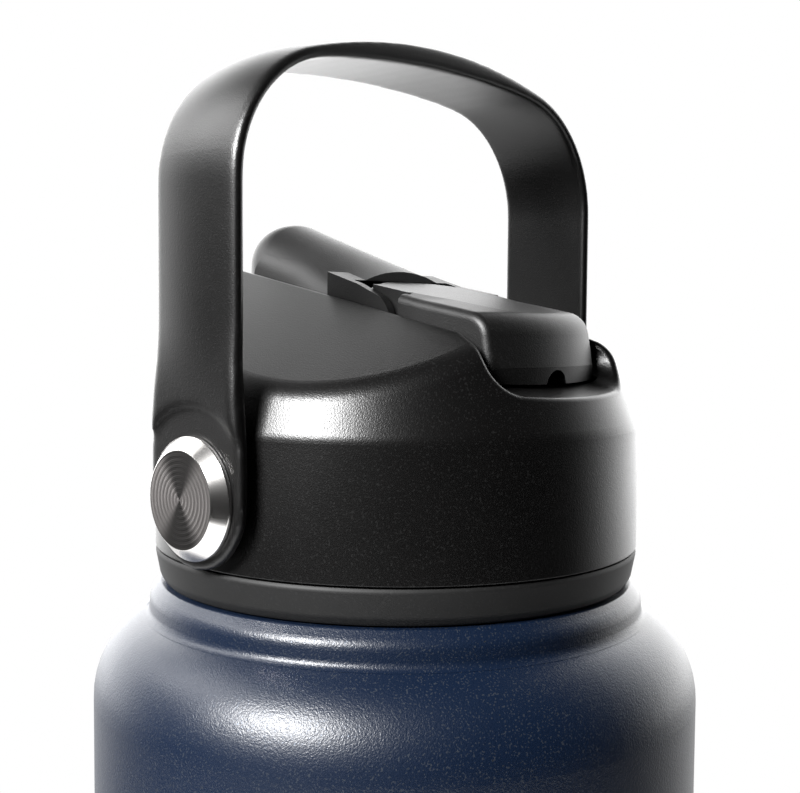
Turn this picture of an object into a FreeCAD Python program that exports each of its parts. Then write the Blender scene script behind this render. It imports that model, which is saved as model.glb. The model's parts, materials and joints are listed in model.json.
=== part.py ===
import FreeCAD, Part
import math
import os

from FreeCAD import Vector

# Vacuum-insulated half-gallon jug with a screw-on straw lid, a flip-up spout and a swing handle.
# Millimetres. +Z up, origin at the centre of the base. The handle swings about X, and -Y is the
# front, where the fixed block of the spout channel ends. Heights with LID_Z are from the lid seam.

# Driving dimensions
BODY_R = 55.0
LID_R = 44.0
LID_Z = 252.0
SHELL_WALL = 0.8
LINER_WALL = 0.6
LINER_R = 50.6
LINER_FLOOR_Z = 8.0
BASE_CUP_H = 8.0
FLOOR_T = 1.0

SHOULDER_END = (45.25, -11.97)
SHOULDER_CORNER_Z = -16.11
SHOULDER_ARC = 15.8
NECK_R = 45.0
NECK_CORNER_Z = -8.44
NECK_ARC = 3.0
CREASE_ARC = 1.6
RIM_Z = -6.45
RIM_R = 43.2
LIP_R = 41.2
MOUTH_R = 40.2

CONE_Z = 22.4
CONE_SLOPE = 0.36
ROOF_CREST_Z = 44.95
ROOF_SLOPE_Y = 0.2025
ROOF_SLOPE_X = 0.5
LID_WALL = 2.4
LID_TOP_INSIDE = 21.5
LID_CREASE_R = 6.0
CHANNEL_EDGE_R = 1.0
BOSS_R = 6.2
INSERT_R = 4.2
SEAM_GAP = 0.3

CHANNEL_HALF = 14.5
CHANNEL_FLOOR = 27.0
BLOCK_GAP = 0.3
BLOCK_FRONT_R = 36.6
BLOCK_TOP_Z = 46.7
BLOCK_TOP_SLOPE = 0.18
BLOCK_EDGE_R = 1.5
BLOCK_SCREWS = ((-8.5, -22.0), (8.5, -22.0))
SPIGOT_R = 5.2
SPIGOT_HOLE_R = 5.6
VENT_Y = 14.0

AXLE_Y = -5.5
AXLE_Z = 39.5
PIN_R = 1.5
HUB_HALF = 12.0
HUB_R = 8.7
HUB_CROWN_R = 31.2
SADDLE_GAP = 0.35
CHEEK_OUT = 14.0
PORT_ANGLE = 33.0
SPOUT_TRAVEL = 70.0
SPOUT_FRONT_Y = -1.3
SPOUT_TOP_Z = 49.2
SPOUT_TOP_SLOPE = 0.35
SPOUT_SECTIONS = (
    (-8, 14, 31), (0, 14, 24.5), (8, 13.3, 17.5), (15, 11.7, 14), (21, 11.0, 12.0),
    (27, 10.8, 11.4), (40, 10.6, 11.0),
)
SPOUT_RIM_R = 6.0
PORT_R = 2.6

RING_TOP_R = 44.0
RING_BOTTOM_R = 42.3
RING_BOTTOM_Z = -6.15
PLUG_CORE_R = 37.9
PLUG_BORE_R = 35.4
PLUG_BOTTOM = -24.0
THREAD_PITCH = 4.5
THREAD_DEPTH = 1.0
THREAD_TURNS = 1.5
THREAD_GAP = 0.25

STRAW_OUT = 4.0
STRAW_IN = 3.2
STRAW_END_Z = 14.0

PIVOT_Z = 12.0
ARM_IN = 44.35
ARM_OUT = 47.2
STRAP_HALF = 10.4
ARM_END_R = 11.6
STRAP_EDGE = 1.2
LOOP_OUT = (47.2, 89.05, 110.0, 24.0)
LOOP_IN = (44.35, 84.65, 200.0, 21.0)
SPOT_FACE_R = 15.0
SPOT_FACE_DEPTH = 0.6
BUTTON_R = 10.0
BUTTON_FACE_R = 7.9
BUTTON_FACE_X = 49.3
SCREW_R = 2.5
BUSH_R = 3.6
RUNNING_GAP = 0.05

ORIGIN = Vector(0, 0, 0)
Z_AXIS = Vector(0, 0, 1)
X_AXIS = Vector(1, 0, 0)
FAR = 120.0
SURFACE_SEAM = 50.0


def outline(points):
    """Closed wire edges through 2-D points; a third number rounds that corner."""
    count = len(points)
    flat = [Vector(p[0], p[1], 0) for p in points]
    starts, ends = [], []
    edges = []
    for i, point in enumerate(points):
        here = flat[i]
        radius = point[2] if len(point) > 2 else 0.0
        if not radius:
            starts.append(here)
            ends.append(here)
            continue
        back = (flat[i - 1] - here).normalize()
        ahead = (flat[(i + 1) % count] - here).normalize()
        half = back.getAngle(ahead) / 2
        reach = radius / math.tan(half)
        middle = (back + ahead).normalize()
        centre = here + middle * (radius / math.sin(half))
        first = here + back * reach
        last = here + ahead * reach
        starts.append(first)
        ends.append(last)
        edges.append((i, Part.Arc(first, centre - middle * radius, last).toShape()))
    arcs = dict(edges)
    wire = []
    for i in range(count):
        if i in arcs:
            wire.append(arcs[i])
        following = starts[(i + 1) % count]
        if (following - ends[i]).Length > 1e-6:
            wire.append(Part.LineSegment(ends[i], following).toShape())
    return wire


def stand(edges, first, second):
    """Face of flat edges, with their two axes laid on two directions."""
    third = first.cross(second)
    matrix = FreeCAD.Matrix(
        first.x, second.x, third.x, 0,
        first.y, second.y, third.y, 0,
        first.z, second.z, third.z, 0,
        0, 0, 0, 1,
    )
    face = Part.Face(Part.Wire(Part.__sortEdges__(edges)))
    face.Placement = FreeCAD.Placement(matrix)
    return face


def lathe(points):
    """Solid of revolution about Z from an outline in radius and height."""
    face = stand(outline(points), X_AXIS, Z_AXIS)
    solid = face.revolve(ORIGIN, Z_AXIS, 360)
    return solid.rotated(ORIGIN, Z_AXIS, SURFACE_SEAM)


def lathe_x(points, side=1):
    """Solid turned about the handle's pivot from an outline in distance along X and radius."""
    turned = [(side * p[0], *p[1:]) for p in points]
    solid = stand(outline(turned), X_AXIS, Z_AXIS).revolve(ORIGIN, X_AXIS, 360)
    return solid.translated(Vector(0, 0, LID_Z + PIVOT_Z))


def prism_x(points, low, high):
    """Outline in Y and Z, from the seam, pulled along X."""
    face = stand(outline(points), Vector(0, 1, 0), Z_AXIS)
    return face.translated(Vector(low, 0, LID_Z)).extrude(Vector(high - low, 0, 0))


def prism_z(points, low, high):
    """Outline in X and Y pulled along Z, between two heights from the seam."""
    face = stand(outline(points), X_AXIS, Vector(0, 1, 0))
    return face.translated(Vector(0, 0, LID_Z + low)).extrude(Vector(0, 0, high - low))


def rod(radius, start, end):
    """Round bar between two points given from the seam."""
    first = Vector(start[0], start[1], start[2] + LID_Z)
    last = Vector(end[0], end[1], end[2] + LID_Z)
    return Part.makeCylinder(radius, (last - first).Length, first, last - first)


def tube(outer, inner, start, end):
    return rod(outer, start, end).cut(rod(inner, start, end))


def lid_lathe(points):
    return lathe([(p[0], p[1] + LID_Z, *p[2:]) for p in points])


def helix_ridge(root_r, crest_r, low, turns):
    """Trapezoid thread ridge from root_r to crest_r; it bites into the wall at its root."""
    bite = math.copysign(0.4, root_r - crest_r)
    base, tip = 1.3, 0.6
    path = Part.makeHelix(THREAD_PITCH, THREAD_PITCH * turns, root_r)
    corners = [
        Vector(root_r + bite, 0, -base),
        Vector(crest_r, 0, -tip),
        Vector(crest_r, 0, tip),
        Vector(root_r + bite, 0, base),
    ]
    section = Part.makePolygon(corners + corners[:1])
    ridge = Part.Wire(path).makePipeShell([section], True, True)
    return ridge.translated(Vector(0, 0, LID_Z + low))


def mirrored(shape):
    return shape.mirror(ORIGIN, X_AXIS)


# Bottle

def bottle_envelope(inset, bottom):
    """Outside of the painted shell, moved in by inset."""
    return lathe([
        (0, bottom),
        (BODY_R - inset, bottom),
        (BODY_R - inset, LID_Z + SHOULDER_CORNER_Z - 0.6 * inset, SHOULDER_ARC - inset),
        (SHOULDER_END[0] - 0.6 * inset, LID_Z + SHOULDER_END[1] - inset, CREASE_ARC + inset),
        (NECK_R - inset, LID_Z + NECK_CORNER_Z, NECK_ARC),
        (RIM_R - inset, LID_Z + RIM_Z, 0.5),
        (0, LID_Z + RIM_Z),
    ])


def outer_shell():
    solid = bottle_envelope(0, BASE_CUP_H)
    hollow = bottle_envelope(SHELL_WALL, BASE_CUP_H - 1)
    mouth = rod(LIP_R, (0, 0, -20), (0, 0, 5))
    cap = rod(BODY_R, (0, 0, RIM_Z - SHELL_WALL), (0, 0, RIM_Z + 1))
    return solid.cut(hollow.cut(cap)).cut(mouth)


def base_cup():
    """Stamped outer base, welded to the shell, with a recess inside its foot ring."""
    return lathe([
        (0, 2.6),
        (43, 2.6, 1.5),
        (44.5, 0, 1.0),
        (BODY_R, 0, 4.5),
        (BODY_R, BASE_CUP_H - 0.15),
        (BODY_R - SHELL_WALL, BASE_CUP_H - 0.15),
        (BODY_R - SHELL_WALL, BASE_CUP_H + 3),
        (BODY_R - SHELL_WALL - FLOOR_T, BASE_CUP_H + 3),
        (BODY_R - SHELL_WALL - FLOOR_T, 1.2, 3.5),
        (45.8, 1.2, 0.8),
        (43.6, 2.6 + FLOOR_T, 2.0),
        (0, 2.6 + FLOOR_T),
    ])


def base_disc():
    return lathe([(3.5, 1.5, 0), (40, 1.5, 0.4), (40, 2.6), (3.5, 2.6)])


def evacuation_seal():
    return lathe([(0, 1.9), (3.2, 1.9, 0.4), (3.2, 2.6), (0, 2.6)])


def liner_envelope(grow, bottom):
    """Inside of the liner, moved out by grow."""
    return lathe([
        (0, bottom),
        (LINER_R + grow, bottom, 6 + grow),
        (LINER_R + grow, LID_Z - 30 + grow, 9),
        (MOUTH_R + grow, LID_Z - 18 + grow, 3),
        (MOUTH_R + grow, LID_Z + RIM_Z),
        (0, LID_Z + RIM_Z),
    ])


def inner_liner():
    """Drinking-side wall, rolled out at the mouth to meet the shell, with a thread formed in it."""
    wall = liner_envelope(LINER_WALL, LINER_FLOOR_Z)
    lip = rod(LIP_R, (0, 0, RIM_Z - LINER_WALL), (0, 0, RIM_Z))
    floor_cut = rod(BODY_R, (0, 0, -LID_Z), (0, 0, LINER_FLOOR_Z + 9 - LID_Z))
    hollow = liner_envelope(0, LINER_FLOOR_Z + LINER_WALL)
    shell = wall.cut(floor_cut).fuse(lip).cut(hollow)
    crest = PLUG_CORE_R + THREAD_DEPTH + THREAD_GAP
    ridge = helix_ridge(MOUTH_R, crest, -17.5, THREAD_TURNS)
    return shell.fuse(ridge)


def liner_base():
    """Round cup that closes the bottom of the liner."""
    top = LINER_FLOOR_Z + 9
    cup = liner_envelope(LINER_WALL, LINER_FLOOR_Z)
    cup = cup.cut(liner_envelope(0, LINER_FLOOR_Z + LINER_WALL))
    return cup.cut(rod(BODY_R, (0, 0, top - LID_Z), (0, 0, 5)))


# Lid

def roof_half_space(side):
    """Wedge above one sloping side of the roof."""
    def height(x, y):
        return LID_Z + ROOF_CREST_Z + ROOF_SLOPE_Y * y - ROOF_SLOPE_X * (x - CHANNEL_HALF)
    inner, outer = 0.0, 60.0
    base = [
        Vector(side * inner, -60, height(inner, -60)),
        Vector(side * outer, -60, height(outer, -60)),
        Vector(side * outer, 60, height(outer, 60)),
        Vector(side * inner, 60, height(inner, 60)),
    ]
    return Part.Face(Part.makePolygon(base + base[:1])).extrude(Vector(0, 0, FAR))


def lid_envelope():
    top = 52.0
    cone_top_r = LID_R - CONE_SLOPE * (top - CONE_Z)
    solid = lid_lathe([
        (0, SEAM_GAP / 2),
        (LID_R, SEAM_GAP / 2, 0.3),
        (LID_R, CONE_Z, 4.0),
        (cone_top_r, top),
        (0, top),
    ])
    for side in (1, -1):
        solid = solid.cut(roof_half_space(side))
    creases = []
    for edge in solid.Edges:
        box = edge.BoundBox
        if box.XLength > 5 and box.ZLength > 2 and LID_Z + 28 < box.ZMin < LID_Z + 35:
            creases.append(edge)
    return solid.makeFillet(LID_CREASE_R, creases)


def trough(y, half, bottom, corner):
    """Rounded U-shaped section across the channel's open front end."""
    edges = outline([(-half, 60), (-half, bottom, corner), (half, bottom, corner), (half, 60)])
    face = stand(edges, X_AXIS, Z_AXIS)
    return face.OuterWire.translated(Vector(0, y, LID_Z))


def channel():
    """Space that the spout and the front block lie in, open at the front and at the back."""
    run = prism_x([
        (-34.5, 60), (-34.5, CHANNEL_FLOOR), (20, CHANNEL_FLOOR, 6), (45, 40), (45, 60),
    ], -CHANNEL_HALF, CHANNEL_HALF)
    front = Part.makeLoft([
        trough(-28, CHANNEL_HALF, 31.4, 4.0),
        trough(-46, 21.5, 27.2, 8.0),
    ], True, True)
    return run.fuse(front)


def shared_edges(solid, first, second):
    """Edges of a solid that lie on the skins of two others."""
    found = []
    for edge in solid.Edges:
        middle = Part.Vertex(edge.valueAt((edge.FirstParameter + edge.LastParameter) / 2))
        if all(middle.distToShape(skin.Shells[0])[0] < 1e-3 for skin in (first, second)):
            found.append(edge)
    return found


def pivot_boss(side):
    return rod(BOSS_R, (side * 31, 0, PIVOT_Z), (side * 42, 0, PIVOT_Z))


def lid_body():
    """Moulded upper lid: round wall, sloping roof, spout channel and the two handle bosses."""
    envelope, trench = lid_envelope(), channel()
    solid = envelope.cut(trench)
    solid = solid.makeFillet(CHANNEL_EDGE_R, shared_edges(solid, envelope, trench))
    inside = lid_lathe([
        (0, -1), (LID_R - LID_WALL, -1), (LID_R - LID_WALL, LID_TOP_INSIDE, 3), (0, LID_TOP_INSIDE),
    ])
    solid = solid.cut(inside.cut([pivot_boss(1), pivot_boss(-1)]))
    for side in (1, -1):
        solid = solid.cut(rod(INSERT_R, (side * 33, 0, PIVOT_Z), (side * 41.5, 0, PIVOT_Z)))
        solid = solid.cut(rod(SCREW_R, (side * 30, 0, PIVOT_Z), (side * 46, 0, PIVOT_Z)))
        solid = solid.cut(rod(7.3, (side * 43.0, 0, PIVOT_Z), (side * 46, 0, PIVOT_Z)))
        solid = solid.cut(rod(PIN_R, (0, AXLE_Y, AXLE_Z), (side * 18, AXLE_Y, AXLE_Z)))
    under, over = LID_TOP_INSIDE - 1, CHANNEL_FLOOR + 1
    solid = solid.cut(rod(SPIGOT_HOLE_R, (0, AXLE_Y, under), (0, AXLE_Y, over)))
    solid = solid.cut(rod(1.5, (0, VENT_Y, under), (0, VENT_Y, over)))
    for x, y in BLOCK_SCREWS:
        solid = solid.cut(rod(1.6, (x, y, under), (x, y, over)))
    return solid


def crowned_barrel(half, grow):
    """Barrel about the spout axle, widest in the middle."""
    drop = HUB_CROWN_R - math.sqrt(HUB_CROWN_R ** 2 - half ** 2)
    edge = HUB_R + grow - drop
    arc = Part.Arc(Vector(-half, edge, 0), Vector(0, HUB_R + grow, 0), Vector(half, edge, 0))
    edges = [
        arc.toShape(),
        Part.makeLine(Vector(half, edge, 0), Vector(half, 0, 0)),
        Part.makeLine(Vector(half, 0, 0), Vector(-half, 0, 0)),
        Part.makeLine(Vector(-half, 0, 0), Vector(-half, edge, 0)),
    ]
    solid = stand(edges, X_AXIS, Z_AXIS).revolve(ORIGIN, X_AXIS, 360)
    return solid.translated(Vector(0, AXLE_Y, LID_Z + AXLE_Z))


def radial(angle, distance):
    """Point in the middle plane at an angle above +Y and a distance from the spout axle."""
    turn = math.radians(angle)
    return (0, AXLE_Y + distance * math.cos(turn), AXLE_Z + distance * math.sin(turn))


def front_block():
    """Fixed block that closes the front of the channel; its round rear end is the spout's hub."""
    side = CHANNEL_HALF - BLOCK_GAP
    top = BLOCK_TOP_Z
    bottom = CHANNEL_FLOOR
    front_y, back_y = -60, 40
    top_front = top + BLOCK_TOP_SLOPE * (front_y - AXLE_Y)
    top_back = top + BLOCK_TOP_SLOPE * (back_y - AXLE_Y)
    over = prism_x([(front_y, top_front), (front_y, 75), (back_y, 75), (back_y, top_back)], -20, 20)
    under = prism_x([
        (front_y, bottom - 2), (front_y, 28.6), (-37, 30.1), (-33, 30.6, 2), (-30, bottom - 2),
    ], -20, 20)
    front = prism_x([(-13.6, bottom), (-13.6, 60), (front_y, 60), (front_y, bottom)], -side, side)
    bullet = lid_lathe([
        (0, bottom - 2), (BLOCK_FRONT_R - 0.6, bottom - 2), (BLOCK_FRONT_R, 33),
        (BLOCK_FRONT_R - 1.4, 41.4, 4.5), (22, 44.0, 30), (0, 50),
    ])
    front = front.common(bullet).cut([under, over])
    rims = []
    for edge in front.Edges:
        box = edge.BoundBox
        if box.XLength < 0.01 and box.ZMin > LID_Z + 32 and box.YMax - box.YMin > 0.5:
            rims.append(edge)
    front = front.makeFillet(BLOCK_EDGE_R, rims)
    middle = prism_x([
        (-14, bottom), (-14, top + 2), (AXLE_Y, top + 2), (AXLE_Y, bottom),
    ], -HUB_HALF, HUB_HALF)
    stem = prism_x([
        (-14, bottom), (-14, AXLE_Z), (AXLE_Y + 4, AXLE_Z), (AXLE_Y + 4, bottom),
    ], -5.5, 5.5)
    rear = middle.fuse([crowned_barrel(HUB_HALF, 0), stem]).cut(over)
    spigot = rod(SPIGOT_R, (0, AXLE_Y, PLUG_BOTTOM + 3.8), (0, AXLE_Y, bottom + 2))
    solid = front.fuse([rear, spigot])
    notch = rod(2.6, (0, -50, 29.9), (0, -31, 29.9))
    port = rod(PORT_R, radial(PORT_ANGLE, 0), radial(PORT_ANGLE, 12))
    seat = rod(PORT_R + 1.2, radial(PORT_ANGLE, 6.4), radial(PORT_ANGLE, 12))
    duct = rod(PORT_R + 0.4, (0, AXLE_Y, PLUG_BOTTOM), (0, AXLE_Y, AXLE_Z + 1))
    pin = rod(PIN_R, (-18, AXLE_Y, AXLE_Z), (18, AXLE_Y, AXLE_Z))
    solid = solid.cut([notch, port, seat, duct, pin])
    for x, y in BLOCK_SCREWS:
        solid = solid.cut(rod(1.3, (x, y, bottom - 1), (x, y, bottom + 9)))
    return solid


def port_seal():
    ring = tube(PORT_R + 1.2, PORT_R, radial(PORT_ANGLE, 6.4), radial(PORT_ANGLE, 12))
    return ring.common(crowned_barrel(HUB_HALF, 0))


def block_screws():
    parts = []
    for x, y in BLOCK_SCREWS:
        shank = rod(1.3, (x, y, 19.7), (x, y, CHANNEL_FLOOR + 8))
        head = rod(2.6, (x, y, 19.7), (x, y, LID_TOP_INSIDE))
        parts.append(shank.fuse(head))
    return Part.makeCompound(parts)


def spout_pin():
    return rod(PIN_R, (-17.8, AXLE_Y, AXLE_Z), (17.8, AXLE_Y, AXLE_Z))


def spout_top(y):
    """Height of the spout's highest line above the seam."""
    return SPOUT_TOP_Z + SPOUT_TOP_SLOPE * (y - SPOUT_FRONT_Y)


def spout_section(y, half, crown_r):
    """Wire across the spout: an arched top on straight sides."""
    high = spout_top(y) + LID_Z
    low = high - crown_r + math.sqrt(crown_r ** 2 - half ** 2)
    corners = [Vector(side * half, y, z) for side, z in ((-1, low), (1, low), (1, 270), (-1, 270))]
    sides = [Part.makeLine(corners[i], corners[(i + 1) % 4]) for i in (1, 2, 3)]
    arch = Part.Arc(corners[0], Vector(0, y, high), corners[1]).toShape()
    return Part.Wire([arch, *sides])


def flip_spout():
    """Drinking spout: a tongue that grows rounder towards its free end, two cheeks on the axle
    and a saddle round the hub."""
    side = prism_x([
        (SPOUT_FRONT_Y, 70), (40, 70), (40, 50), (33, 47, 5), (20, 42, 9), (9.5, 30.5, 3),
        (3.0, 28.9, 2), (SPOUT_FRONT_Y + 0.4, 31.3),
    ], -CHEEK_OUT - 2, CHEEK_OUT + 2)
    crown = Part.makeLoft([spout_section(*row) for row in SPOUT_SECTIONS], True, False)
    half = [(16, -20), (16, 15), (11.4, 25, 20), (10.5, 34.6, 9.8)]
    plan = prism_z(half + [(-p[0], *p[1:]) for p in reversed(half)], 20, 75)
    tongue = side.common(crown).common(plan)
    rims = []
    for edge in tongue.Edges:
        box = edge.BoundBox
        if box.YLength > 0.2 and box.ZMax > LID_Z + 49.5 and box.ZMin > LID_Z + 44.5:
            if edge.Curve.TypeId == "Part::GeomBSplineCurve" and edge.Length > 3:
                rims.append(edge)
    tongue = tongue.makeFillet(SPOUT_RIM_R, rims)
    cheeks = prism_x([
        (AXLE_Y, 33.2, 2), (4, 33.2), (4, 49.0), (-3.5, 46.8, 1.5), (AXLE_Y - 6, 43.5, 5.2),
        (AXLE_Y - 6, 36, 4.8),
    ], -CHEEK_OUT, CHEEK_OUT)
    solid = tongue.fuse(cheeks)
    saddle_half = HUB_HALF + SADDLE_GAP
    front = prism_x([
        (-30, 20), (-30, 60), (-4.4, 60), (-1.0, 47.2), (AXLE_Y, AXLE_Z), (-4.5, 20),
    ], -saddle_half, saddle_half)
    swept = Part.makeCylinder(
        HUB_R + SADDLE_GAP, 2 * saddle_half, Vector(-saddle_half, AXLE_Y, LID_Z + AXLE_Z), X_AXIS)
    upper = prism_x([(AXLE_Y, AXLE_Z), (30, AXLE_Z + 9.5), (30, 70), (AXLE_Y, 70)], -20, 20)
    solid = solid.cut([crowned_barrel(saddle_half, SADDLE_GAP), front, swept.common(upper)])
    closed_angle = PORT_ANGLE - SPOUT_TRAVEL
    elbow = (0, 6.0, 33.4)
    entry = rod(PORT_R, radial(closed_angle, 5), elbow)
    bore = rod(PORT_R, elbow, (0, 39.5, 54.6))
    bend = Part.makeSphere(PORT_R, Vector(elbow[0], elbow[1], elbow[2] + LID_Z))
    pin = rod(PIN_R + RUNNING_GAP, (-20, AXLE_Y, AXLE_Z), (20, AXLE_Y, AXLE_Z))
    return solid.cut([entry, bore, bend, pin])


def threaded_base():
    """Lower ring, flange and threaded skirt of the lid, one moulding welded into the lid body."""
    ring = lid_lathe([
        (PLUG_BORE_R, PLUG_BOTTOM), (PLUG_CORE_R, PLUG_BOTTOM, 0.8), (PLUG_CORE_R, RING_BOTTOM_Z),
        (38.3, RING_BOTTOM_Z), (38.3, -4.3), (41.1, -4.3), (41.1, RING_BOTTOM_Z),
        (RING_BOTTOM_R, RING_BOTTOM_Z, 0.3), (43.2, -4.8, 1.5), (RING_TOP_R, -0.6, 0.8),
        (RING_TOP_R - 0.3, -SEAM_GAP / 2), (42.4, -SEAM_GAP / 2), (42.4, SEAM_GAP / 2),
        (LID_R - LID_WALL, SEAM_GAP / 2), (LID_R - LID_WALL, 3), (PLUG_BORE_R + 3, 3),
        (PLUG_BORE_R, 0),
    ])
    ridge = helix_ridge(PLUG_CORE_R, PLUG_CORE_R + THREAD_DEPTH, -20.5, THREAD_TURNS)
    return ring.fuse(ridge)


def lid_gasket():
    return lid_lathe([
        (38.35, -6.1), (41.05, -6.1, 0.3), (41.05, -4.4, 0.3), (38.35, -4.4),
    ])


def plug_foam():
    disc = rod(PLUG_BORE_R - 0.1, (0, 0, PLUG_BOTTOM + 2.4), (0, 0, -0.5))
    disc = disc.cut(rod(5.4, (0, AXLE_Y, -30), (0, AXLE_Y, 5)))
    return disc.cut(rod(2.6, (0, VENT_Y, -30), (0, VENT_Y, 5)))


def plug_floor():
    disc = lid_lathe([
        (0, PLUG_BOTTOM), (PLUG_BORE_R, PLUG_BOTTOM), (PLUG_BORE_R, PLUG_BOTTOM + 2.2),
        (0, PLUG_BOTTOM + 2.2),
    ])
    socket = rod(7.2, (0, AXLE_Y, PLUG_BOTTOM - 7), (0, AXLE_Y, PLUG_BOTTOM + 1))
    disc = disc.fuse(socket)
    disc = disc.cut(rod(SPIGOT_HOLE_R, (0, AXLE_Y, PLUG_BOTTOM - 8), (0, AXLE_Y, PLUG_BOTTOM)))
    disc = disc.cut(rod(3.0, (0, AXLE_Y, PLUG_BOTTOM - 1), (0, AXLE_Y, PLUG_BOTTOM + 3)))
    return disc.cut(rod(2.0, (0, VENT_Y, PLUG_BOTTOM - 1), (0, VENT_Y, PLUG_BOTTOM + 3)))


def spigot_oring():
    ring = Part.makeTorus(4.35, 0.8, Vector(0, AXLE_Y, LID_Z + PLUG_BOTTOM + 3.0), Z_AXIS)
    return ring.cut(rod(10, (0, AXLE_Y, -30), (0, AXLE_Y, PLUG_BOTTOM + 2.2)))


def straw_grommet():
    return tube(SPIGOT_HOLE_R, STRAW_OUT, (0, AXLE_Y, PLUG_BOTTOM - 6.4), (0, AXLE_Y, PLUG_BOTTOM - 0.2))


def straw():
    top = PLUG_BOTTOM - 0.4
    return tube(STRAW_OUT, STRAW_IN, (0, AXLE_Y, STRAW_END_Z - LID_Z), (0, AXLE_Y, top))


def vent_valve():
    """Silicone duckbill that lets air back into the jug."""
    body = rod(2.0, (0, VENT_Y, PLUG_BOTTOM - 2), (0, VENT_Y, PLUG_BOTTOM + 2.2))
    flange = rod(3.4, (0, VENT_Y, PLUG_BOTTOM - 1), (0, VENT_Y, PLUG_BOTTOM))
    bill = prism_x([
        (VENT_Y - 2, PLUG_BOTTOM - 2), (VENT_Y + 2, PLUG_BOTTOM - 2),
        (VENT_Y + 0.5, PLUG_BOTTOM - 5), (VENT_Y - 0.5, PLUG_BOTTOM - 5),
    ], -1.9, 1.9)
    valve = body.fuse([flange, bill])
    return valve.cut(rod(0.9, (0, VENT_Y, PLUG_BOTTOM - 3), (0, VENT_Y, PLUG_BOTTOM + 3)))


# Handle and its pivots

def loop_face(shape, foot):
    """Handle loop filled in: straight arms, two corner arcs and a wide crown arc, all tangent."""
    half, top, crown, corner = shape
    corner_x = half - corner
    rise = math.sqrt((crown - corner) ** 2 - corner_x ** 2)
    corner_z = top - crown + rise
    lean = math.atan2(rise, corner_x)

    def on_arc(side, centre_x, centre_z, radius, angle):
        return Vector(side * (centre_x + radius * math.cos(angle)),
                      centre_z + radius * math.sin(angle), 0)

    edges = [Part.makeLine(Vector(-half, foot, 0), Vector(half, foot, 0))]
    crown_ends = []
    for side in (1, -1):
        joint = on_arc(side, 0, top - crown, crown, lean)
        middle = on_arc(side, corner_x, corner_z, corner, lean / 2)
        shoulder = Vector(side * half, corner_z, 0)
        edges.append(Part.Arc(joint, middle, shoulder).toShape())
        edges.append(Part.makeLine(shoulder, Vector(side * half, foot, 0)))
        crown_ends.append(joint)
    edges.append(Part.Arc(crown_ends[0], Vector(0, top, 0), crown_ends[1]).toShape())
    return stand(edges, X_AXIS, Z_AXIS).translated(Vector(0, 0, LID_Z))


def handle():
    """Swing handle: one bent strap with round ends, a shallow spot face and a pivot hole in each."""
    low = PIVOT_Z - ARM_END_R
    reach = ARM_END_R + 1
    width = Vector(0, 2 * reach, 0)
    solid = loop_face(LOOP_OUT, low).translated(Vector(0, -reach, 0)).extrude(width)
    solid = solid.cut(loop_face(LOOP_IN, low - 1).translated(Vector(0, -reach, 0)).extrude(width))
    side = prism_x([
        (-STRAP_HALF, 100), (-STRAP_HALF, PIVOT_Z + 22, 40), (-ARM_END_R, PIVOT_Z + 8, 20),
        (-ARM_END_R, low, ARM_END_R), (ARM_END_R, low, ARM_END_R),
        (ARM_END_R, PIVOT_Z + 8, 20), (STRAP_HALF, PIVOT_Z + 22, 40), (STRAP_HALF, 100),
    ], -60, 60)
    solid = solid.common(side)
    rims = []
    for edge in solid.Edges:
        box = edge.BoundBox
        bent = box.XLength > 3 and box.YLength < 0.01 and box.ZMin > LID_Z + PIVOT_Z + 22
        straight = box.XLength < 0.01 and box.ZLength > 0.5
        if bent or straight:
            rims.append(edge)
    solid = solid.makeFillet(STRAP_EDGE, rims)
    for way in (1, -1):
        solid = solid.cut(rod(SPOT_FACE_R, (way * (ARM_OUT - SPOT_FACE_DEPTH), 0, PIVOT_Z),
                              (way * 52, 0, PIVOT_Z)))
        solid = solid.cut(rod(7.0, (way * 45.8, 0, PIVOT_Z), (way * 52, 0, PIVOT_Z)))
        solid = solid.cut(rod(BUSH_R + RUNNING_GAP, (way * 44, 0, PIVOT_Z), (way * 52, 0, PIVOT_Z)))
    return solid


def pivot_button(side):
    """Turned metal cap with a polished bevel, pressed into the arm over the screw head."""
    base = ARM_OUT - SPOT_FACE_DEPTH
    return lathe_x([
        (45.85, 5.3), (45.85, 7.0), (base + 0.05, 7.0), (base + 0.05, BUTTON_R, 0.2),
        (base + 0.7, BUTTON_R, 0.3), (BUTTON_FACE_X, BUTTON_FACE_R, 0.15), (BUTTON_FACE_X, 0),
        (47.7, 0), (47.7, 5.3),
    ], side)


def pivot_screw(side):
    """Shoulder screw that the handle turns on, with a hexagon socket."""
    screw = lathe_x([
        (34, 0), (34, SCREW_R, 0.5), (46.1, SCREW_R), (46.1, 4.6, 0.3), (47.3, 4.6, 0.4), (47.3, 0),
    ], side)
    hexagon = [(1.6 * math.cos(math.radians(60 * i)), 1.6 * math.sin(math.radians(60 * i)))
               for i in range(6)]
    socket = prism_x([(y, z + PIVOT_Z) for y, z in hexagon], 46.4, 48)
    if side < 0:
        socket = mirrored(socket)
    return screw.cut(socket)


def pivot_bush(side):
    return lathe_x([(43.1, SCREW_R), (43.1, BUSH_R), (46.0, BUSH_R), (46.0, SCREW_R)], side)


def friction_washer(side):
    return lathe_x([
        (43.0, BUSH_R + 0.1), (43.0, 7.2), (44.1, 7.2, 0.3), (44.1, BUSH_R + 0.1),
    ], side)


def threaded_insert(side):
    grooves = []
    for start in (34.5, 37.0, 39.5):
        root = INSERT_R - 0.4
        grooves += [(start, INSERT_R), (start + 0.4, root), (start + 0.9, root), (start + 1.3, INSERT_R)]
    return lathe_x([(33, SCREW_R), (33, INSERT_R), *grooves, (41.5, INSERT_R), (41.5, SCREW_R)], side)


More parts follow.
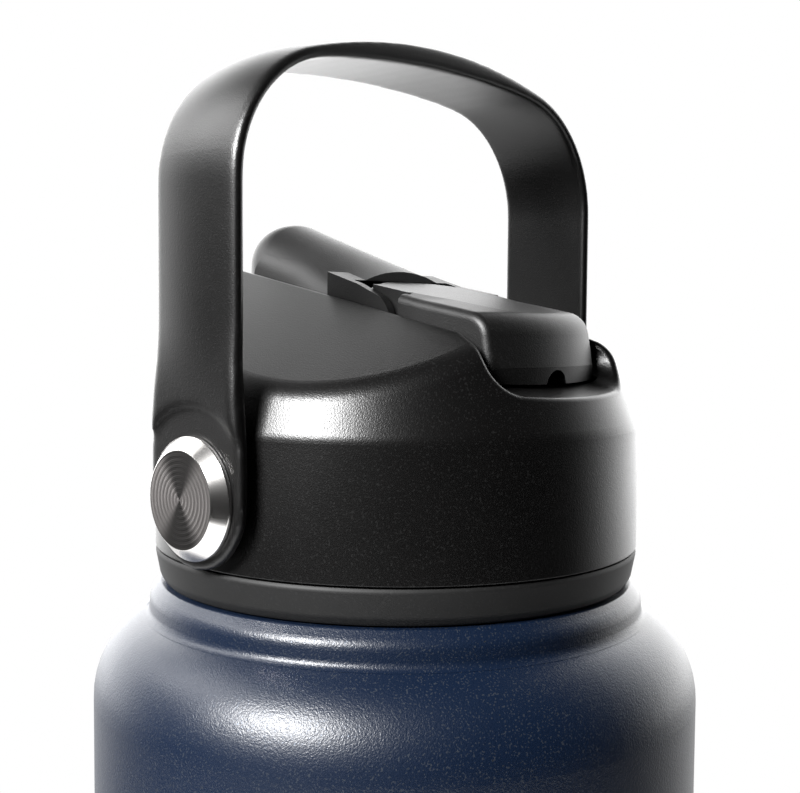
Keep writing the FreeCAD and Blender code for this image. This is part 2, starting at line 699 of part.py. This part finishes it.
def build():
    nodes = {
        "outer_shell": outer_shell(),
        "base_cup": base_cup(),
        "base_disc": base_disc(),
        "evacuation_seal": evacuation_seal(),
        "inner_liner": inner_liner(),
        "liner_base": liner_base(),
        "lid_body": lid_body(),
        "threaded_base": threaded_base(),
        "lid_gasket": lid_gasket(),
        "plug_foam": plug_foam(),
        "plug_floor": plug_floor(),
        "front_block": front_block(),
        "port_seal": port_seal(),
        "block_screws": block_screws(),
        "spout_pin": spout_pin(),
        "flip_spout": flip_spout(),
        "spigot_oring": spigot_oring(),
        "straw_grommet": straw_grommet(),
        "straw": straw(),
        "vent_valve": vent_valve(),
        "handle": handle(),
    }
    pivot_makers = {
        "pivot_button": pivot_button,
        "pivot_screw": pivot_screw,
        "pivot_bush": pivot_bush,
        "friction_washer": friction_washer,
        "threaded_insert": threaded_insert,
    }
    for name, make in pivot_makers.items():
        nodes["right_" + name] = make(1)
        nodes["left_" + name] = make(-1)
    return nodes


os.makedirs("parts", exist_ok=True)
for node, shape in build().items():
    shape.exportStep(os.path.join("parts", node + ".step"))
    print(node, shape.isValid(), len(shape.Solids), round(shape.Volume / 1000, 2), "cm3")
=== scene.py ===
import json
import math

import bpy
from mathutils import Matrix, Vector
from mathutils.bvhtree import BVHTree


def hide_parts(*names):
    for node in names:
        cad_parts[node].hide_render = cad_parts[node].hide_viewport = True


# Looks of the insulated jug: a powder-coated steel body, a textured black lid with a flip-up spout
# in its channel, and a swing handle on turned metal pivots. Metres, in the frame of the CAD model.

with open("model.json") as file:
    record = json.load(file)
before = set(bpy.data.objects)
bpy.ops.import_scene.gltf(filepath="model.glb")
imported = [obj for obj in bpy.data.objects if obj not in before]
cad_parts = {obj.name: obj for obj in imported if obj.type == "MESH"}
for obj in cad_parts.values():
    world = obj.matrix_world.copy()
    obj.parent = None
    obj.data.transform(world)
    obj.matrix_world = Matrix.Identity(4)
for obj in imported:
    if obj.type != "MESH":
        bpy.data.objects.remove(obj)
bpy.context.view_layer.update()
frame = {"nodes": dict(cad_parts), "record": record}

MM = 0.001
SEAM = 252 * MM
PIVOT_HEIGHT = SEAM + 12 * MM
CAP_FACE_R = 7.8 * MM
GROOVE_PITCH = 0.86 * MM
FINE_GROOVE_PITCH = 0.29 * MM

STRAP_CROWN_R = 55 * MM
STRAP_THICKNESS = 3.2 * MM
CROWN_START = SEAM + 26 * MM
CROWN_RUN_IN = 15 * MM
LOOP_MIDDLE = Vector((0, 0, SEAM + 40 * MM))
STRAP_GRID = 0.55 * MM

LID_MIDDLE = Vector((0, 0, SEAM + 20 * MM))
CAMERA_PLACE = Vector((-163.3 * MM, -156.0 * MM, SEAM + 40.7 * MM))
CAMERA_TURN = math.radians(-46.32)
CAMERA_DIP = math.radians(3.643)
CAMERA_ROLL = math.radians(0.4305)
FLOOR_R = 0.42


# Shader maths

class Wire:
    """An output socket whose operators add Math nodes."""

    def __init__(self, tree, socket):
        self.tree = tree
        self.socket = socket

    def maths(self, operation, first, second):
        node = self.tree.nodes.new("ShaderNodeMath")
        node.operation = operation
        for place, value in enumerate((first, second)):
            if isinstance(value, Wire):
                self.tree.links.new(value.socket, node.inputs[place])
            else:
                node.inputs[place].default_value = value
        return Wire(self.tree, node.outputs[0])

    def __add__(self, other):
        return self.maths("ADD", self, other)

    def __radd__(self, other):
        return self.maths("ADD", other, self)

    def __sub__(self, other):
        return self.maths("SUBTRACT", self, other)

    def __rsub__(self, other):
        return self.maths("SUBTRACT", other, self)

    def __mul__(self, other):
        return self.maths("MULTIPLY", self, other)

    def __rmul__(self, other):
        return self.maths("MULTIPLY", other, self)

    def __truediv__(self, other):
        return self.maths("DIVIDE", self, other)

    def __pow__(self, other):
        return self.maths("POWER", self, other)


class Finish:
    """A material with one Principled shader, whose constants are set on its own sockets."""

    def __init__(self, name, colour, roughness, **constants):
        self.material = bpy.data.materials.new(name)
        self.material.use_nodes = True
        self.tree = self.material.node_tree
        self.shader = self.tree.nodes["Principled BSDF"]
        self.set("Base Color", (*colour, 1.0))
        self.set("Roughness", roughness)
        for socket, value in constants.items():
            self.set(socket.replace("_", " "), value)

    def set(self, socket, value):
        if isinstance(value, Wire):
            self.tree.links.new(value.socket, self.shader.inputs[socket])
        else:
            self.shader.inputs[socket].default_value = value

    def node(self, kind, settings=None, sockets=None, out=0):
        """Adds a node: its settings or ramp stops first, then the values or links of its sockets."""
        made = self.tree.nodes.new(kind)
        for key, value in (settings or {}).items():
            if key == "stops":
                ramp = made.color_ramp
                while len(ramp.elements) < len(value):
                    ramp.elements.new(0.5)
                for stop, (place, colour) in zip(ramp.elements, value):
                    stop.position = place
                    stop.color = colour
            else:
                setattr(made, key, value)
        for key, value in (sockets or {}).items():
            if isinstance(value, Wire):
                self.tree.links.new(value.socket, made.inputs[key])
            else:
                made.inputs[key].default_value = value
        return Wire(self.tree, made.outputs[out])

    def place(self):
        return self.node("ShaderNodeTexCoord", out="Object")

    def noise(self, scale, detail=2.0, roughness=0.5, where=None):
        return self.node("ShaderNodeTexNoise", sockets={
            "Vector": where or self.place(), "Scale": scale, "Detail": detail, "Roughness": roughness,
        })

    def band(self, value, low, high):
        """0 below low, 1 above high, smooth between."""
        return self.node("ShaderNodeMapRange", {"interpolation_type": "SMOOTHSTEP"}, {
            "Value": value, "From Min": low, "From Max": high,
        })

    def tint(self, mask, first, second):
        """The first colour where the mask is 0, the second where it is 1; either may be a wire."""
        pair = [colour if isinstance(colour, Wire) else (*colour, 1.0) for colour in (first, second)]
        return self.node("ShaderNodeMix", {"data_type": "RGBA"}, {0: mask, 6: pair[0], 7: pair[1]}, out=2)

    def ripple(self, distance, pitch):
        """A wave with one crest in each pitch."""
        return self.node("ShaderNodeMath", {"operation": "SINE"}, {0: distance * (2 * math.pi / pitch)})

    def bump(self, height, depth):
        return self.node("ShaderNodeBump", sockets={"Height": height, "Distance": depth})


# Finishes. A noise scale is in grains per metre, and a bump depth is in metres.

def textured_plastic(name, colour, roughness, depth):
    """Moulded black plastic with a spark-eroded grain that glints in the light."""
    finish = Finish(name, colour, roughness)
    fine = finish.noise(4400.0, 1.0, 0.6)
    pits = finish.noise(1980.0, 1.0)
    wear = finish.noise(28.0, 3.0, 0.6)
    glint = finish.band(finish.noise(2992.0, 0.0), 0.62, 0.78)
    shade = finish.tint(finish.band(wear, 0.35, 0.7), colour, tuple(1.35 * c for c in colour))
    finish.set("Base Color", finish.tint(glint, shade, (0.009, 0.009, 0.009)))
    finish.set("Metallic", 0.09 * glint)
    finish.set("Roughness", roughness - 0.05 + 0.10 * wear)
    finish.set("Normal", finish.bump(fine + 0.3 * pits, depth))
    return finish.material


def powder_coat():
    """Navy powder paint: a fine orange peel with bright flakes that catch the light."""
    navy = (0.0021, 0.0064, 0.0185)
    finish = Finish("navy_powder_coat", navy, 0.36)
    peel = finish.noise(2600.0, 1.0, 0.5)
    grit = finish.noise(5200.0, 1.0)
    cloud = finish.noise(14.0, 2.0)
    flake = finish.band(finish.noise(3300.0, 0.0), 0.63, 0.77)
    spark = finish.band(finish.noise(2300.0, 0.0), 0.80, 0.86)
    shade = finish.tint(finish.band(cloud, 0.3, 0.7), navy, (0.0026, 0.0078, 0.0220))
    finish.set("Base Color", finish.tint(0.4 * flake + 0.6 * spark, shade, (0.075, 0.085, 0.10)))
    finish.set("Metallic", 0.35 * flake + 0.65 * spark)
    finish.set("Roughness", 0.28 + 0.12 * cloud)
    finish.set("Normal", finish.bump(peel + 0.5 * grit, 0.00004))
    return finish.material


def brushed_steel(name, colour, roughness):
    """Bare metal brushed round the axis, so its streaks are thin in height."""
    finish = Finish(name, colour, roughness, Metallic=1.0)
    stretched = finish.node("ShaderNodeMapping", sockets={
        "Vector": finish.place(), "Scale": (60.0, 60.0, 2400.0),
    })
    streaks = finish.noise(1.0, 3.0, 0.6, stretched)
    finish.set("Roughness", roughness - 0.06 + 0.14 * streaks)
    finish.set("Normal", finish.bump(streaks, 0.00001))
    return finish.material


def turned_steel():
    """Pivot cap turned on a lathe: rings about the pivot on its face, with a polished bevel round it. The
    face also carries painted reflection: its colour is lighter in the sectors to either side of the pivot
    and darker above and below it, a painted bow-tie highlight.
    """
    finish = Finish("turned_steel", (0.66, 0.64, 0.62), 0.2, Metallic=1.0)
    split = "ShaderNodeSeparateXYZ"
    place = finish.place()
    across = finish.node(split, sockets={"Vector": place}, out="Y")
    up = finish.node(split, sockets={"Vector": place}, out="Z") - PIVOT_HEIGHT
    radius = (across * across + up * up) ** 0.5
    on_face = 1 - finish.band(radius, CAP_FACE_R - 0.05 * MM, CAP_FACE_R + 0.05 * MM)
    groove = finish.ripple(radius, GROOVE_PITCH)
    height = (groove * 0.7 + finish.ripple(radius, FINE_GROOVE_PITCH) * 0.3) * on_face
    # Painted reflection: this mask makes the face lighter across the pivot and dark (0.10) above and
    # below it, in place of the bow-tie highlight of the rings.
    side = finish.band(across * across / (radius * radius), 0.10, 0.60)
    face = finish.tint(side * (0.94 + 0.06 * groove), (0.10, 0.095, 0.093), (0.50, 0.47, 0.46))
    finish.set("Roughness", 0.19 + 0.12 * on_face)
    finish.set("Base Color", finish.tint(on_face, (0.86, 0.84, 0.82), face))
    finish.set("Normal", finish.bump(height, 0.000012))
    return finish.material


def soft_silicone(name, colour, roughness=0.5):
    """Smooth moulded material with a slight haze: silicone, and the glass bead."""
    finish = Finish(name, colour, roughness)
    haze = finish.noise(900.0, 2.0)
    finish.set("Roughness", roughness - 0.05 + 0.12 * haze)
    finish.set("Normal", finish.bump(haze, 0.00003))
    return finish.material


def plain_plastic(name, colour, roughness=0.4):
    """Unpainted moulded plastic of the hidden parts and the straw."""
    finish = Finish(name, colour, roughness)
    grain = finish.noise(1500.0, 2.0)
    finish.set("Roughness", roughness - 0.04 + 0.1 * grain)
    finish.set("Normal", finish.bump(grain, 0.00003))
    return finish.material


def foam():
    """Open-celled insulation."""
    finish = Finish("plug_foam", (0.78, 0.74, 0.62), 0.9)
    cells = finish.node("ShaderNodeTexVoronoi", sockets={"Vector": finish.place(), "Scale": 900.0})
    finish.set("Normal", finish.bump(cells, 0.0004))
    return finish.material


def brass():
    """Machined brass with stains."""
    finish = Finish("brass", (0.78, 0.56, 0.25), 0.3, Metallic=1.0)
    stain = finish.noise(300.0, 3.0)
    finish.set("Roughness", 0.22 + 0.2 * stain)
    return finish.material


BLACK = (0.0019, 0.0018, 0.0018)
finishes = {
    "navy_powder_coat": powder_coat(),
    "bare_steel": brushed_steel("bare_steel", (0.62, 0.61, 0.60), 0.28),
    "solder_glass": soft_silicone("solder_glass", (0.25, 0.32, 0.28), 0.2),
    "lid_plastic": textured_plastic("lid_plastic", BLACK, 0.31, 0.00003),
    "ring_plastic": textured_plastic("ring_plastic", (0.0008, 0.0008, 0.0008), 0.62, 0.00001),
    "spout_plastic": textured_plastic("spout_plastic", BLACK, 0.46, 0.00003),
    "handle_plastic": textured_plastic("handle_plastic", BLACK, 0.34, 0.00003),
    "black_silicone": soft_silicone("black_silicone", (0.02, 0.02, 0.02)),
    "clear_silicone": soft_silicone("clear_silicone", (0.62, 0.62, 0.60)),
    "plug_foam": foam(),
    "plug_plastic": plain_plastic("plug_plastic", (0.02, 0.02, 0.02)),
    "straw_plastic": plain_plastic("straw_plastic", (0.10, 0.105, 0.11), 0.25),
    "turned_steel": turned_steel(),
    "screw_steel": brushed_steel("screw_steel", (0.55, 0.55, 0.56), 0.3),
    "brass": brass(),
    "bush_plastic": plain_plastic("bush_plastic", (0.72, 0.72, 0.68)),
}


def dress(obj, slot):
    """Gives a part the one finish of its material slot."""
    obj.data.materials.clear()
    obj.data.materials.append(finishes[slot])


for part in frame["record"]["subparts"]:
    dress(frame["nodes"][part["node"]], part["material_slot"])


# Handle

def smooth_step(value, start, run):
    """0 before start, 1 a run past it, smooth between."""
    share = min(max((value - start) / run, 0), 1)
    return share * share * (3 - 2 * share)


def outer_skin(mesh):
    """Finder of the nearest point on the side of the strap that faces away from the loop's middle."""
    def faces_out(face):
        away = face.center - LOOP_MIDDLE
        return abs(face.normal.y) < 0.1 and face.normal.dot(away) > 0.3 * away.length

    outside = [tuple(face.vertices) for face in mesh.polygons if faces_out(face)]
    return BVHTree.FromPolygons([vertex.co for vertex in mesh.vertices], outside)


def crowned_handle():
    """The swing handle with its strap crowned across the width, flat only at the pivots."""
    source = frame["nodes"]["handle"]
    strap = source.copy()
    strap.data = source.data.copy()
    strap.name = "crowned_handle"
    bpy.context.scene.collection.objects.link(strap)
    bpy.ops.object.select_all(action="DESELECT")
    strap.select_set(True)
    bpy.context.view_layer.objects.active = strap
    bpy.ops.object.mode_set(mode="EDIT")
    bpy.ops.mesh.select_all(action="SELECT")
    bpy.ops.mesh.remove_doubles(threshold=0.002 * MM)
    bpy.ops.object.mode_set(mode="OBJECT")
    skin = outer_skin(strap.data)
    grid = strap.modifiers.new("grid", "REMESH")
    grid.mode = "VOXEL"
    grid.voxel_size = STRAP_GRID
    bpy.ops.object.modifier_apply(modifier=grid.name)
    for vertex in strap.data.vertices:
        nearest = skin.find_nearest(vertex.co)
        outward, depth = nearest[1], nearest[3]
        share = max(1 - depth / STRAP_THICKNESS, 0) * smooth_step(vertex.co.z, CROWN_START, CROWN_RUN_IN)
        vertex.co -= outward * (share * vertex.co.y ** 2 / (2 * STRAP_CROWN_R))
    soften = strap.modifiers.new("soften", "SMOOTH")
    soften.factor = 0.5
    soften.iterations = 8
    bpy.ops.object.modifier_apply(modifier=soften.name)
    bpy.ops.object.shade_smooth()
    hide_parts("handle")


crowned_handle()


# Studio

def studio_camera():
    """Close view a little above the lid, from the left front."""
    data = bpy.data.cameras.new("camera")
    data.sensor_width = 36.0
    data.lens = 54.93
    data.shift_x = 0.0035
    data.clip_start = 0.005
    camera = bpy.data.objects.new("camera", data)
    bpy.context.scene.collection.objects.link(camera)
    aim = Matrix.Rotation(CAMERA_TURN, 4, "Z") @ Matrix.Rotation(math.pi / 2 - CAMERA_DIP, 4, "X")
    aim = aim @ Matrix.Rotation(CAMERA_ROLL, 4, "Z")
    camera.matrix_world = Matrix.Translation(CAMERA_PLACE) @ aim
    bpy.context.scene.camera = camera


def soft_light(name, direction, distance, size, power):
    """Softbox, width and height, that faces the lid from a direction."""
    data = bpy.data.lights.new(name, "AREA")
    data.shape = "RECTANGLE"
    data.size, data.size_y = size
    data.energy = power
    light = bpy.data.objects.new(name, data)
    bpy.context.scene.collection.objects.link(light)
    away = Vector(direction).normalized()
    light.location = LID_MIDDLE + away * distance
    light.rotation_mode = "QUATERNION"
    light.rotation_quaternion = away.to_track_quat("Z", "Y")


def studio_world():
    """White sweep behind and above the jug, dark on the camera's side; the backdrop itself is white."""
    world = bpy.data.worlds.new("studio")
    bpy.context.scene.world = world
    world.use_nodes = True
    nodes, links = world.node_tree.nodes, world.node_tree.links
    place = nodes.new("ShaderNodeTexCoord")

    def fade(direction, low, high, dim, bright):
        toward = nodes.new("ShaderNodeVectorMath")
        toward.operation = "DOT_PRODUCT"
        toward.inputs[1].default_value = direction
        ease = nodes.new("ShaderNodeMapRange")
        ease.interpolation_type = "SMOOTHSTEP"
        for socket, value in (("From Min", low), ("From Max", high), ("To Min", dim), ("To Max", bright)):
            ease.inputs[socket].default_value = value
        links.new(place.outputs["Generated"], toward.inputs[0])
        links.new(toward.outputs["Value"], ease.inputs["Value"])
        return Wire(world.node_tree, ease.outputs[0])

    behind = fade((0.723, 0.690, 0.0), 0.02, 0.88, 0.0, 1.0)
    horizon = fade((0.0, 0.0, 1.0), -0.30, 0.0, 0.9, 4.4)
    dome = fade((0.0, 0.0, 1.0), 0.45, 0.80, 1.0, 0.12)
    seen = nodes.new("ShaderNodeLightPath")
    pick = nodes.new("ShaderNodeMix")
    pick.inputs[3].default_value = 1.0
    links.new(seen.outputs["Is Camera Ray"], pick.inputs[0])
    links.new((0.008 + behind * horizon * dome).socket, pick.inputs[2])
    links.new(pick.outputs[0], nodes["Background"].inputs["Strength"])
    nodes["Background"].inputs["Color"].default_value = (1, 1, 1, 1)


def studio_floor():
    """Round sheet of pale paper that the jug stands on."""
    bpy.ops.mesh.primitive_circle_add(vertices=96, radius=FLOOR_R, fill_type="NGON", location=(0, 0, 0))
    floor = bpy.context.object
    floor.name = "studio_floor"
    finish = Finish("floor_paper", (0.6, 0.6, 0.6), 0.9)
    fibre = finish.noise(600.0, 3.0)
    finish.set("Normal", finish.bump(fibre, 0.00005))
    floor.data.materials.append(finish.material)


studio_camera()
studio_world()
studio_floor()
soft_light("key", (-0.84, 0.0, 0.50), 0.9, (0.40, 0.22), 26.0)
soft_light("left_rim", (-0.50, 0.62, 0.60), 0.8, (0.36, 0.36), 2.5)
bpy.context.scene.view_settings.view_transform = "Standard"
